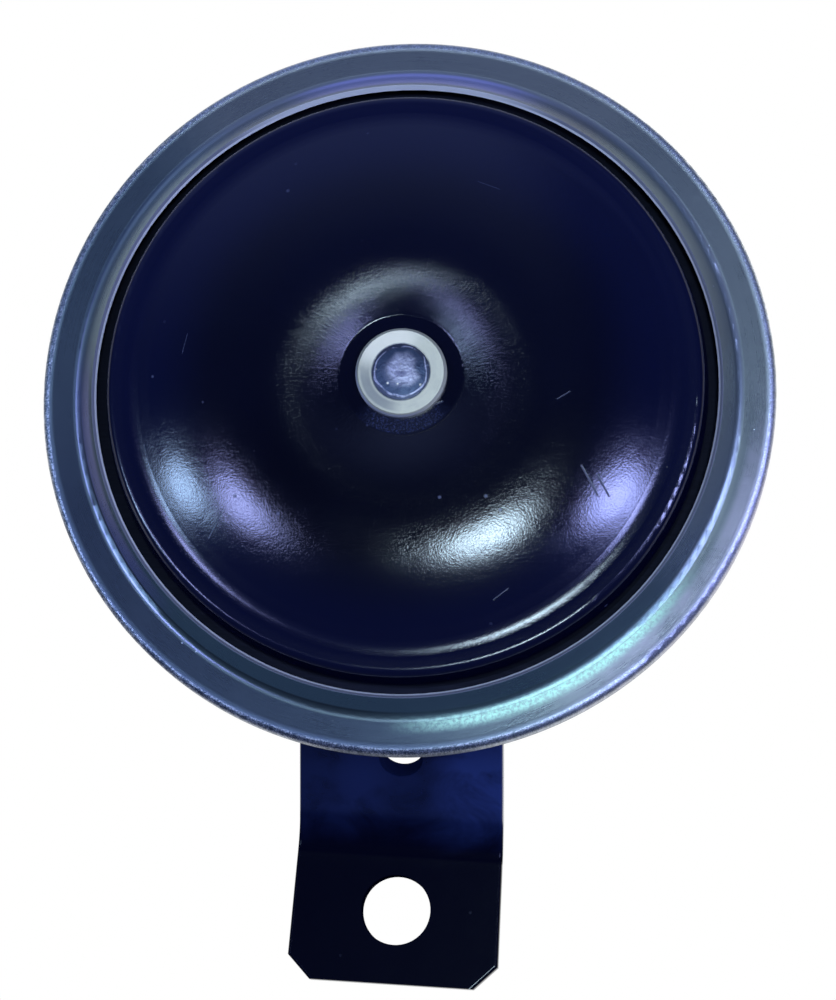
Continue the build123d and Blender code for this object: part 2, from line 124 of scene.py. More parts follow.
class Wire:
    """One output socket. Python arithmetic on it adds Math nodes to its tree."""

    def __init__(self, sheet, socket):
        self.sheet = sheet
        self.socket = socket

    def _math(self, operation, *values):
        names = dict(enumerate(values))
        node = self.sheet.node("ShaderNodeMath", {"operation": operation}, names)
        return Wire(self.sheet, node.outputs[0])

    def __add__(self, other):
        return self._math("ADD", self, other)

    __radd__ = __add__

    def __mul__(self, other):
        return self._math("MULTIPLY", self, other)

    __rmul__ = __mul__

    def __sub__(self, other):
        return self._math("SUBTRACT", self, other)

    def __rsub__(self, other):
        return self._math("SUBTRACT", other, self)

    def __truediv__(self, other):
        return self._math("DIVIDE", self, other)

    def __rtruediv__(self, other):
        return self._math("DIVIDE", other, self)

    def __pow__(self, other):
        return self._math("POWER", self, other)

    def __neg__(self):
        return self._math("MULTIPLY", self, -1.0)

    def __abs__(self):
        return self._math("ABSOLUTE", self)

    def root(self):
        return self._math("SQRT", self)

    def sine(self):
        return self._math("SINE", self)

    def turn_from(self, other):
        """Angle of the point (other, self), in radians."""
        return self._math("ARCTAN2", self, other)

    def most(self, other):
        return self._math("MAXIMUM", self, other)

    def rise(self, low, high):
        """0 below low, 1 above high and smooth between. With low above high it falls."""
        settings = {"interpolation_type": "SMOOTHSTEP", "clamp": True}
        inputs = {"Value": self, "From Min": low, "From Max": high}
        node = self.sheet.node("ShaderNodeMapRange", settings, inputs)
        return Wire(self.sheet, node.outputs["Result"])

    def band(self, low, high, soft):
        """1 between low and high, with soft sides."""
        return self.rise(low - soft, low) * self.rise(high + soft, high)


class Sheet:
    """The node tree of one finish or of the world."""

    def __init__(self, tree):
        self.tree = tree
        self.tree.nodes.clear()

    @staticmethod
    def socket_of(sockets, key):
        if isinstance(key, int):
            return sockets[key]
        for socket in sockets:
            if socket.identifier == key:
                return socket
        return sockets[key]

    def node(self, kind, settings=None, inputs=None):
        """A node of that kind, with its settings first and then its values and links."""
        made = self.tree.nodes.new(kind)
        for name, value in (settings or {}).items():
            setattr(made, name, value)
        for key, value in (inputs or {}).items():
            socket = self.socket_of(made.inputs, key)
            if isinstance(value, Wire):
                self.tree.links.new(value.socket, socket)
            else:
                socket.default_value = value
        return made

    def out(self, node, name=0):
        return Wire(self, self.socket_of(node.outputs, name))

    def place(self):
        """Position on the piece, in metres in the shared frame."""
        return self.out(self.node("ShaderNodeTexCoord"), "Object")

    def split(self, vector):
        node = self.node("ShaderNodeSeparateXYZ", None, {"Vector": vector})
        return [self.out(node, name) for name in ("X", "Y", "Z")]

    def join(self, x, y, z):
        return self.out(self.node("ShaderNodeCombineXYZ", None, {"X": x, "Y": y, "Z": z}))

    def noise(self, scale, detail=3.0, roughness=0.55, distortion=0.0, vector=None):
        inputs = {
            "Vector": vector or self.place(),
            "Scale": scale,
            "Detail": detail,
            "Roughness": roughness,
            "Distortion": distortion,
        }
        return self.out(self.node("ShaderNodeTexNoise", None, inputs), 0)

    def cells(self, scale, vector=None):
        """Distance to the nearest of scattered points."""
        inputs = {"Vector": vector or self.place(), "Scale": scale}
        return self.out(self.node("ShaderNodeTexVoronoi", None, inputs), "Distance")

    def mix(self, factor, first, second):
        """Colour that goes from first to second as factor goes from 0 to 1."""
        inputs = {
            "Factor_Float": factor,
            "A_Color": self.colour(first),
            "B_Color": self.colour(second),
        }
        node = self.node("ShaderNodeMix", {"data_type": "RGBA"}, inputs)
        return self.out(node, "Result_Color")

    @staticmethod
    def colour(value):
        return value if isinstance(value, Wire) else (*tuple(value)[:3], 1.0)

    def polar(self):
        """Radius and turn about the horn's axis, and depth along it."""
        x, y, z = self.split(self.place())
        up = z - AXIS_HEIGHT
        radius = (x * x + up * up).root()
        return radius, up.turn_from(x), y

    def toward(self, degrees):
        """Cosine of the turn between a point and one direction about the horn's axis."""
        x, _, z = self.split(self.place())
        up = z - AXIS_HEIGHT
        turn = math.radians(degrees)
        radius = (x * x + up * up).root()
        return (x * math.cos(turn) + up * math.sin(turn)) / radius

    def near_axis(self, hole, tilt):
        """1 on the wall of a hole: its middle height, its radius, and its axis' tilt upwards."""
        height, radius, depth = hole
        x, y, z = self.split(self.place())
        rise = (z - height) * math.cos(tilt) - (y - depth) * math.sin(tilt)
        off = (x * x + rise * rise).root()
        return off.rise(radius + 0.12 * MM, radius + 0.05 * MM)

    def bump(self, height, distance, normal=None, strength=1.0):
        inputs = {"Height": height, "Distance": distance, "Strength": strength}
        if normal:
            inputs["Normal"] = normal
        return self.out(self.node("ShaderNodeBump", None, inputs), "Normal")


def new_finish(name):
    material = bpy.data.materials.new(name)
    material.use_nodes = True
    return material, Sheet(material.node_tree)


def close_finish(sheet, **sockets):
    """Adds the surface shader with the given sockets and the output."""
    inputs = {name.replace("_", " ").title(): value for name, value in sockets.items()}
    if "Ior" in inputs:
        inputs["IOR"] = inputs.pop("Ior")
    base = inputs.get("Base Color")
    if base is not None:
        inputs["Base Color"] = sheet.colour(base)
    shader = sheet.node("ShaderNodeBsdfPrincipled", None, inputs)
    sheet.node("ShaderNodeOutputMaterial", None, {"Surface": sheet.out(shader)})


def dress(material, *names):
    """Gives CAD nodes their finish."""
    for name in names:
        node = NODES[name]
        for slot in node.material_slots:
            slot.material = material


# ---------------------------------------------------------------- finishes


def hairline(sheet, x, z, turn, length, width):
    """One thin straight scratch, placed from the horn's axis in mm and turned in degrees."""
    across, _, up = sheet.split(sheet.place())
    side = across - x * MM
    rise = up - (AXIS_HEIGHT + z * MM)
    cos, sin = math.cos(math.radians(turn)), math.sin(math.radians(turn))
    along = abs(side * cos + rise * sin)
    off = abs(rise * cos - side * sin)
    thin = off.rise(width * MM, 0.4 * width * MM)
    return thin * along.rise(length * 0.5 * MM, length * 0.35 * MM)


def gloss_paint(name, colour, roughness, peel, dust, marks=(), crater=False):
    """Stoved gloss paint: fine orange peel, a few specks of dust and hairline scratches.

    With crater, the dip round the horn's axis is duller, the paint carries painted light and
    shade, and its seat a painted highlight.
    """
    material, sheet = new_finish(name)
    grain = sheet.noise(4200.0, 3.0, 0.6, 0.3)
    wave = sheet.noise(1000.0, 2.0, 0.5)
    haze = sheet.noise(45.0, 4.0, 0.6)
    specks = sheet.cells(330.0).rise(0.10, 0.04) * sheet.noise(75.0).rise(0.56, 0.62) * dust
    base = sheet.mix(haze.rise(0.35, 0.75) * 0.7, colour, [c * 1.8 for c in colour])
    rough = roughness + (haze - 0.5) * 0.05 + (grain - 0.5) * 0.05 + specks * 0.25
    height = wave * 0.8 + grain * 1.3
    if crater:
        radius, turn, _ = sheet.polar()
        _, _, z = sheet.split(sheet.place())
        # Painted light and shade: the paint is darker low and near the middle, lighter towards the
        # top and the outer edge.
        lighter_up = (z - AXIS_HEIGHT + (haze - 0.5) * 30.0 * MM).rise(-24.0 * MM, 26.0 * MM)
        outer_glow = radius.rise(22.0 * MM, 31.0 * MM)
        painted_light_tone = lighter_up * 0.35 + outer_glow * 0.65
        base = sheet.mix(painted_light_tone, [c * 0.45 for c in colour], [c * 2.6 for c in colour])
        dip = radius.rise(DIP_END[1], DIP_END[0]) * radius.rise(*DIP_START)
        foot = radius.band(*FOOT, 0.7 * MM).most(radius.rise(*TURNED_EDGE))
        fibres = sheet.noise(1.0, 4.0, 0.65, 0.0, sheet.join(turn * 60.0, radius * 700.0, 0.0))
        seat = radius.band(*SEAT, 0.3 * MM) * sheet.toward(276).rise(0.55, 0.9)
        # Painted highlight: a speckled lighter patch on the seat below the collar.
        seat_glint = seat * (0.12 + sheet.noise(4200.0, 4.0, 0.75).rise(0.46, 0.74))
        base = sheet.mix(seat_glint * 0.8, base, (0.035, 0.045, 0.11))
        rough = rough + dip * 0.045 + seat * 0.12 + foot * 0.04
        height = height * (1.0 + dip * 0.9) + fibres * dip * 3.2
    base = sheet.mix(specks * 0.5, base, (0.10, 0.11, 0.19))
    if marks:
        scratch = hairline(sheet, *marks[0])
        for mark in marks[1:]:
            scratch = scratch.most(hairline(sheet, *mark))
        base = sheet.mix(scratch * 0.3, base, (0.05, 0.06, 0.12))
        rough = rough + scratch * 0.3
        height = height - scratch * 0.8
    normal = sheet.bump(height, PAINT_GRAIN * peel)
    close_finish(sheet, base_color=base, roughness=rough, normal=normal, ior=1.5)
    return material


def strap_paint(settings):
    """Gloss paint of the strap, with a painted blue reflection above its bend.

    It is matt on the front of the bend and of the low end, and in the holes.
    """
    material, sheet = new_finish("strap_paint")
    x, y, z = sheet.split(sheet.place())
    grain = sheet.noise(3600.0, 2.0, 0.6)
    wave = sheet.noise(420.0, 2.0, 0.5)
    cloud = sheet.noise(120.0, 4.0, 0.6, 0.6)
    specks = sheet.cells(330.0).rise(0.10, 0.04) * sheet.noise(75.0).rise(0.56, 0.62)
    # Painted reflection: the paint is bluer above the bend, most on the right and least in the
    # middle.
    above = (z + (cloud - 0.5) * 4.0 * MM).rise(7.5 * MM, 13.5 * MM)
    middle = abs(x - 1.0 * MM).rise(1.0 * MM, 9.0 * MM)
    haze = above * (0.35 + middle * x.rise(-12.0 * MM, 11.0 * MM) * 0.85) * cloud.rise(0.15, 0.6)
    lighter = [c * 1.6 for c in settings.strap]
    base = sheet.mix(cloud.rise(0.35, 0.75) * 0.3, settings.strap, lighter)
    base = sheet.mix(haze, base, settings.strap_sheen)
    base = sheet.mix(specks * 0.4, base, (0.08, 0.09, 0.16))
    bend = z.band(*BEND, 1.0 * MM)
    rough = settings.strap_roughness + haze * 0.10 + (cloud - 0.5) * 0.04 + specks * 0.2
    normal = sheet.bump(wave + grain * 0.5, STRAP_GRAIN)
    gloss_inputs = {"Base Color": base, "Roughness": rough, "Normal": normal, "IOR": 1.5}
    gloss = sheet.node("ShaderNodeBsdfPrincipled", None, gloss_inputs)
    # The matt paint carries the same painted reflection.
    matt_inputs = {
        "Base Color": sheet.mix(haze * 0.8, settings.strap_matt, settings.strap_sheen),
        "Roughness": 1.0,
        "Specular IOR Level": 0.0,
    }
    matt = sheet.node("ShaderNodeBsdfPrincipled", None, matt_inputs)
    inside = sheet.near_axis(FIXING_HOLE, 0.0)
    inside = inside.most(sheet.near_axis(LOCATING_HOLE, LOCATING_TILT))
    front = (y + (z - 8.0 * MM).most(0.0) * 0.6).rise(-0.8 * MM, -2.0 * MM)
    dull = inside.most(front * (bend * 0.94).most(z.rise(9.0 * MM, 5.0 * MM) * 0.55))
    both = {0: dull, 1: sheet.out(gloss), 2: sheet.out(matt)}
    shader = sheet.node("ShaderNodeMixShader", None, both)
    sheet.node("ShaderNodeOutputMaterial", None, {"Surface": sheet.out(shader)})
    return material


def passivated_zinc(settings):
    """Blue passivated zinc of the clamp ring: cloudy films with painted light and shade, spun
    lines and a rim worn bright.
    """
    material, sheet = new_finish("blue_passivated_zinc")
    radius, turn, depth = sheet.polar()
    share = radius / RIM_RADIUS
    spun = sheet.noise(1.0, 4.0, 0.7, 0.0, sheet.join(share * 520.0, turn * 1.6, 0.0))
    rubs = sheet.noise(1.0, 5.0, 0.75, 0.4, sheet.join(share * 60.0, turn * 42.0, 0.0))
    cloud = sheet.noise(60.0, 5.0, 0.65, 0.4)
    fine = sheet.noise(2600.0, 3.0, 0.65)

    base = sheet.mix(cloud.rise(0.3, 0.72), settings.zinc, settings.zinc_pale)
    lip = share.rise(LIP_END[1], LIP_END[0])
    # Film tone and painted light: the zinc is lighter towards the right.
    right = sheet.toward(10).rise(-0.3, 0.75)
    base = sheet.mix(right * 0.55, base, settings.lit_film_zinc)
    # Film tone and painted shade: the zinc is darker towards the left and the lower left.
    shaded_left = sheet.toward(172).rise(0.65, 0.97).most(sheet.toward(230).rise(0.20, 0.85))
    flat = share.rise(*FLAT_START)
    base = sheet.mix(shaded_left * (flat * 0.45 + 0.35), base, settings.shaded_film_zinc)
    # Painted shade: the flat is darkest at the lower left.
    low = sheet.toward(234).rise(0.45, 0.92) * flat
    base = sheet.mix(low * 0.78, base, settings.low_shade_zinc)
    # Painted light: the zinc is lighter at the top of the ring.
    top = sheet.toward(92).rise(0.70, 0.86)
    base = sheet.mix(top * 0.7, base, settings.lit_film_zinc)
    # Painted shade on a band of the flat at the right.
    shaded_right = sheet.toward(-29).rise(0.84, 0.96) * share.rise(0.915, 0.93)
    base = sheet.mix(shaded_right * 0.4, base, settings.shaded_film_zinc)
    # Teal film and a painted reflection on the lower half of the lip.
    base = sheet.mix(lip * sheet.toward(-85).rise(0.2, 0.85) * 0.7, base, settings.lip_film_reflection)
    # Pale film and painted highlights on the lip, at the right, the upper right and the upper
    # left.
    base = sheet.mix(lip * sheet.toward(-12).rise(0.90, 0.97) * 0.8, base, settings.lip_sheen)
    pale = sheet.toward(28).rise(0.84, 0.95).most(sheet.toward(156).rise(0.86, 0.97))
    base = sheet.mix(lip * pale * 0.45, base, settings.lip_sheen)
    # Lavender film and painted highlights on the lip, at the top and at the left.
    violet = sheet.toward(92).rise(0.90, 0.98).most(sheet.toward(202).rise(0.88, 0.98) * 0.85)
    base = sheet.mix(violet * lip * share.rise(0.858, 0.872) * 0.85, base, settings.lavender)
    speckle = sheet.noise(1900.0, 2.0, 0.7)
    # Greenish film and a painted reflection near the crease at the lower right.
    film = sheet.toward(-59).rise(0.85, 0.985)
    film = film * share.rise(0.8975, 0.9005) * share.rise(0.952, 0.922)
    base = sheet.mix(film * (0.45 + speckle.rise(0.36, 0.60) * 0.5), base, settings.cyan_film_sheen)
    # Lavender grey film and a painted reflection on the flat at the right.
    land_sheen = sheet.toward(-28).rise(0.80, 0.99) * share.rise(0.925, 0.95)
    base = sheet.mix(land_sheen * cloud.rise(0.25, 0.6) * 0.8, base, settings.violet)
    # Painted shade in the crease, at the lower right and the lower left.
    crease = share.band(*CREASE, 0.004)
    lower = sheet.toward(-50).rise(0.2, 0.6) * 0.50
    lower = lower.most(sheet.toward(232).rise(0.55, 0.88) * 0.88)
    base = sheet.mix(crease * lower, base, settings.zinc_shade)
    # Painted lavender highlight line in the crease at the left.
    line = share.band(0.9045, 0.9070, 0.0015) * sheet.toward(205).rise(0.6, 0.95)
    base = sheet.mix(line * 0.35, base, settings.lavender)

    cut = share.rise(CUT_FACE[1], CUT_FACE[0])
    base = sheet.mix(cut, base, settings.sheared)
    base = sheet.mix(cut * sheet.toward(97).rise(0.82, 0.97), base, settings.cut_edge)
    arris = share.rise(CUT_CORNER[1], CUT_CORNER[0])
    base = sheet.mix(arris, base, settings.cut_edge)
    edge = share.rise(*RIM_START)
    gritty = sheet.noise(5200.0, 4.0, 0.7)
    scratchy = (rubs * 0.35 + gritty * 0.65).rise(0.44, 0.60)
    reach = rubs * 0.008 + 0.972 + sheet.toward(242).rise(0.4, 0.85) * 0.005
    worn = (share - reach).rise(0.0, 0.006) * scratchy
    side = depth.rise(RIM_LOW.y + 2.4 * MM, RIM_LOW.y + 3.4 * MM) * share.rise(0.985, 0.995)
    worn = worn.most(side * scratchy)
    base = sheet.mix(worn * 0.75, base, settings.burnished)
    # Painted shade round the back of the outermost edge.
    outer = share.rise(0.990, 0.995) * depth.rise(RIM_LOW.y + 4.0 * MM, RIM_LOW.y + 4.5 * MM)
    base = sheet.mix(outer * 0.6, base, settings.zinc_shade)
    pits = sheet.cells(520.0).rise(0.09, 0.04) * sheet.noise(90.0).rise(0.52, 0.6)
    base = sheet.mix(pits * 0.5, base, settings.burnished)

    rough = 0.28 + (spun - 0.5) * 0.05 + (cloud - 0.5) * 0.06 + edge * 0.18 + cut * 0.18
    rough = rough + crease * 0.10 + film * 0.06
    height = spun * 0.35 + fine * 0.8 + speckle * (film * 0.9 + 0.4) + gritty * edge * 2.4 - pits
    normal = sheet.bump(height, RING_GRAIN)
    close_finish(sheet, base_color=base, metallic=1.0 - cut * 0.5, roughness=rough, normal=normal)
    return material


def cream_zinc(settings):
    """Cream passivated zinc of the collar, with painted highlights and painted shade, and darker
    patches at its inner edge.
    """
    material, sheet = new_finish("cream_zinc")
    radius, turn, _ = sheet.polar()
    low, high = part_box("collar_ring")
    share = radius / ((high.x - low.x) / 2)
    cloud = sheet.noise(420.0, 4.0, 0.65)
    spun = sheet.noise(1.0, 3.0, 0.7, 0.0, sheet.join(share * 60.0, turn * 2.0, 0.0))
    fine = sheet.noise(3600.0, 3.0, 0.6)
    # Dull patches and painted shade: the collar is darker towards the left.
    dull = sheet.toward(200).rise(0.0, 0.95)
    duller = cloud.rise(0.35, 0.7) * 0.35 + dull * 0.6 + spun.rise(0.5, 0.75) * 0.3
    base = sheet.mix(duller, settings.collar, settings.collar_dull_and_shade)
    # Painted highlight on the upper left of the collar.
    sweep = sheet.toward(118).rise(0.45, 0.92) * share.band(0.66, 0.90, 0.06)
    base = sheet.mix(sweep * 0.8, base, settings.collar_highlight_and_nicks)
    crescent = sheet.toward(222).rise(0.55, 0.95) * share.band(0.72, 0.86, 0.05)
    base = sheet.mix(crescent * 0.6, base, settings.crescent)
    # Darker in patches towards the inner edge.
    inner_dark = share.rise(0.665, 0.645) * cloud.rise(0.3, 0.6)
    base = sheet.mix(inner_dark * 0.7, base, settings.stem_rim)
    # Painted lavender highlight near the collar's outer edge at the lower left.
    bevel_glint = share.rise(0.950, 0.975) * sheet.toward(235).rise(0.1, 0.8)
    base = sheet.mix(bevel_glint * 0.8, base, settings.stem_glint)
    rough = 0.44 + (cloud - 0.5) * 0.12 + (spun - 0.5) * 0.06 + sweep * 0.10
    normal = sheet.bump(cloud * 0.6 + fine * 0.4 + spun * 0.5, 0.000016)
    close_finish(sheet, base_color=base, metallic=0.65, roughness=rough, normal=normal)
    return material


def zinc_plate(name, colour, dull, roughness):
    """Plain zinc plate with mottling and small pits."""
    material, sheet = new_finish(name)
    cloud = sheet.noise(260.0, 4.0, 0.65)
    fine = sheet.noise(2600.0, 3.0, 0.6)
    pits = sheet.cells(1500.0).rise(0.22, 0.08)
    base = sheet.mix(cloud.rise(0.35, 0.7), colour, dull)
    base = sheet.mix(pits * 0.35, base, [c * 0.45 for c in dull])
    rough = roughness + (cloud - 0.5) * 0.18 + pits * 0.1
    normal = sheet.bump(cloud + fine * 0.4 - pits * 0.3, 0.000012)
    close_finish(sheet, base_color=base, metallic=1.0, roughness=rough, normal=normal)
    return material


def peened_steel(settings):
    """Turned steel. The stem's spread end in front is hammered and dull, with painted reflection,
    highlight and shade.
    """
    material, sheet = new_finish("peened_steel")
    radius, turn, depth = sheet.polar()
    turned = sheet.join(radius * 6000.0, turn * 0.8, depth * 3000.0)
    lines = sheet.noise(1.0, 3.0, 0.6, 0.0, turned)
    head = depth.rise(RIM_LOW.y + 2.5 * MM, RIM_LOW.y + 1.0 * MM)
    dents = sheet.noise(620.0, 3.0, 0.6, 0.5)
    fine = sheet.noise(2600.0, 3.0, 0.6)
    base = sheet.mix(lines, settings.steel, settings.steel_dark)
    wander = (sheet.noise(420.0, 1.0, 0.5, 0.4) - 0.5) * 3.0 * MM
    # Painted reflection: the stem's end is lighter and violet in its middle.
    middle = (radius + wander).rise(2.7 * MM, 0.8 * MM)
    face = sheet.mix(middle, settings.stem_rim, settings.stem_face_reflection)
    face = sheet.mix(fine.rise(0.50, 0.62) * 0.35, face, settings.stem_rim)
    # Painted lavender highlight in a thin broken ring near the rim of the stem's end.
    spread = (radius + wander * 0.3).band(3.12 * MM, 3.24 * MM, 0.08 * MM)
    spread = spread * dents.rise(0.38, 0.55)
    # Painted shade round the edge of the stem's end, next to the collar.
    face = sheet.mix(radius.rise(2.9 * MM, 3.1 * MM) * 0.6, face, (0.06, 0.06, 0.08))
    face = sheet.mix(spread * 0.8, face, settings.stem_glint)
    nick = sheet.cells(900.0).rise(0.16, 0.08) * radius.rise(3.4 * MM, 2.4 * MM)
    face = sheet.mix(nick * 0.7, face, settings.collar_highlight_and_nicks)
    base = sheet.mix(head, base, face)
    rough = 0.36 + (lines - 0.5) * 0.1 + head * 0.06
    ground = sheet.bump(lines, 0.000006)
    normal = sheet.bump(head * (dents + fine * 0.25), 0.00013, ground)
    close_finish(sheet, base_color=base, metallic=0.8, roughness=rough, normal=normal)
    return material


def rolled_steel(name, colour, roughness):
    """Rolled strip with long grain and light oil marks."""
    material, sheet = new_finish(name)
    drawn_out = {"Vector": sheet.place(), "Scale": (1.0, 1.0, 18.0)}
    long_grain = sheet.node("ShaderNodeMapping", None, drawn_out)
    grain = sheet.noise(160.0, 5.0, 0.7, 0.0, sheet.out(long_grain))
    oil = sheet.noise(70.0, 3.0, 0.6)
    base = sheet.mix(grain.rise(0.3, 0.7), colour, [c * 0.72 for c in colour])
    base = sheet.mix(oil.rise(0.55, 0.75) * 0.4, base, [c * 0.5 for c in colour])
    rough = roughness + (grain - 0.5) * 0.15
    normal = sheet.bump(grain, 0.000008)
    close_finish(sheet, base_color=base, metallic=1.0, roughness=rough, normal=normal)
    return material


def machined_brass(settings):
    """Brass with turning marks and darker tarnish in patches."""
    material, sheet = new_finish("machined_brass")
    _, depth, _ = sheet.split(sheet.place())
    marks = sheet.noise(1.0, 2.0, 0.5, 0.0, sheet.join(depth * 5200.0, 0.0, 0.0))
    tarnish = sheet.noise(240.0, 4.0, 0.6)
    base = sheet.mix(tarnish.rise(0.42, 0.72), settings.brass, settings.brass_dark)
    rough = 0.30 + (tarnish - 0.5) * 0.25
    normal = sheet.bump(marks, 0.000010)
    close_finish(sheet, base_color=base, metallic=1.0, roughness=rough, normal=normal)
    return material


def threaded_steel(settings):
    """The core and its rear stud, whose thread shows behind the nut."""
    material, sheet = new_finish("threaded_steel")
    radius, turn, depth = sheet.polar()
    behind = depth.rise(STRAP_HIGH.y - 0.5 * MM, STRAP_HIGH.y)
    phase = depth * (math.tau / (settings.stud_pitch * MM)) + turn
    ridge = phase.sine() * 0.5 + 0.5
    cloud = sheet.noise(300.0, 4.0, 0.6)
    base = sheet.mix(cloud, settings.steel, settings.steel_dark)
    # Painted shade at the roots of the thread behind the nut.
    root = [c * 0.3 for c in settings.steel_dark]
    base = sheet.mix(ridge.rise(0.4, 0.0) * behind * 0.7, base, root)
    flank = behind * radius.rise(3.6 * MM, 3.8 * MM)
    normal = sheet.bump(ridge * flank, 0.00045)
    normal = sheet.bump(cloud, 0.00001, normal)
    rough = 0.38 + cloud * 0.1
    close_finish(sheet, base_color=base, metallic=1.0, roughness=rough, normal=normal)
    return material


def pressed_paper(name, colour, dark):
    """Fibrous gasket or laminated board."""
    material, sheet = new_finish(name)
    fibres = sheet.noise(900.0, 6.0, 0.8, 0.6)
    stain = sheet.noise(120.0, 4.0, 0.6)
    base = sheet.mix(fibres.rise(0.35, 0.7), colour, dark)
    base = sheet.mix(stain.rise(0.5, 0.75) * 0.5, base, dark)
    normal = sheet.bump(fibres, 0.00004)
    close_finish(sheet, base_color=base, roughness=0.85 - stain * 0.15, normal=normal)
    return material


def moulded_plastic(name, colour, roughness):
    """Moulded plastic with a fine spark-eroded grain and slight flow marks."""
    material, sheet = new_finish(name)
    grain = sheet.noise(3200.0, 3.0, 0.6)
    flow = sheet.noise(90.0, 3.0, 0.5, 1.2)
    base = sheet.mix(flow.rise(0.35, 0.7) * 0.5, colour, [c * 1.5 for c in colour])
    rough = roughness + (grain - 0.5) * 0.2
    normal = sheet.bump(grain + flow * 0.3, 0.000018)
    close_finish(sheet, base_color=base, roughness=rough, normal=normal)
    return material


def wound_wire(settings):
    """Enamelled wire laid turn on turn round the bobbin."""
    material, sheet = new_finish("wound_wire")
    radius, _, depth = sheet.polar()
    step = math.tau / (settings.wire_size * MM)
    ridge = (depth * step).sine() * 0.5 + 0.5
    face = (radius * step).sine() * 0.5 + 0.5
    height = ridge * 0.5 + face * 0.5
    shade = sheet.noise(140.0, 3.0, 0.6)
    base = sheet.mix(shade.rise(0.3, 0.7), settings.copper, settings.copper_dark)
    # Painted shade in the grooves between the turns.
    groove_shade = [c * 0.2 for c in settings.copper_dark]
    base = sheet.mix(height.rise(0.3, 0.0) * 0.8, base, groove_shade)
    normal = sheet.bump(height, 0.00012)
    rough = 0.3 + shade * 0.1
    close_finish(sheet, base_color=base, metallic=0.7, roughness=rough, normal=normal)
    return material


def sealing_lacquer(settings):
    """Thick drop of dried lacquer."""
    material, sheet = new_finish("sealing_lacquer")
    skin = sheet.noise(900.0, 3.0, 0.5)
    darker = [c * 0.6 for c in settings.lacquer]
    base = sheet.mix(skin.rise(0.35, 0.7), settings.lacquer, darker)
    normal = sheet.bump(skin, 0.00004)
    close_finish(sheet, base_color=base, roughness=0.28 + skin * 0.15, normal=normal)
    return material


# ---------------------------------------------------------------- settings


def colour_property(name, description, default):
    return FloatVectorProperty(
        name=name,
        description=description,
        default=default,
        size=3,
        min=0.0,
        max=1.0,
        subtype="COLOR",
    )


class HornPaintSettings(bpy.types.PropertyGroup):
    """Colours of the painted and moulded pieces."""

    disc: colour_property(
        "Disc paint", "Blue-black paint of the tone disc", (0.0009, 0.0014, 0.0086)
    )
    strap: colour_property(
        "Strap paint", "Blue-black paint of the strap", (0.0004, 0.0006, 0.0036)
    )
    # Painted blue reflection above the strap's bend.
    strap_sheen: colour_property(
        "Strap haze", "Bluer haze above the strap's bend", (0.016, 0.029, 0.112)
    )
    strap_matt: colour_property(
        "Matt strap", "Matt paint on the strap's bend and low end", (0.0011, 0.0015, 0.0066)
    )
    body: colour_property("Body paint", "Black paint of the housing", (0.0028, 0.0030, 0.0065))
    block: colour_property("Terminal block", "Black moulded block", (0.012, 0.012, 0.012))
    bobbin: colour_property("Bobbin", "Natural moulded bobbin", (0.34, 0.30, 0.22))
    gasket: colour_property("Gasket", "Oiled gasket paper", (0.050, 0.036, 0.028))
    board: colour_property(
        "Insulating board", "Laminated board of the insulators", (0.20, 0.095, 0.04)
    )
    lacquer: colour_property("Lacquer", "Drop that seals the adjusting screw", (0.32, 0.02, 0.015))
    disc_roughness: FloatProperty(
        name="Disc gloss",
        description="Roughness of the disc's paint",
        default=0.12,
        min=0.05,
        max=0.9,
    )
    strap_roughness: FloatProperty(
        name="Strap gloss",
        description="Roughness of the strap's paint",
        default=0.12,
        min=0.05,
        max=0.9,
    )


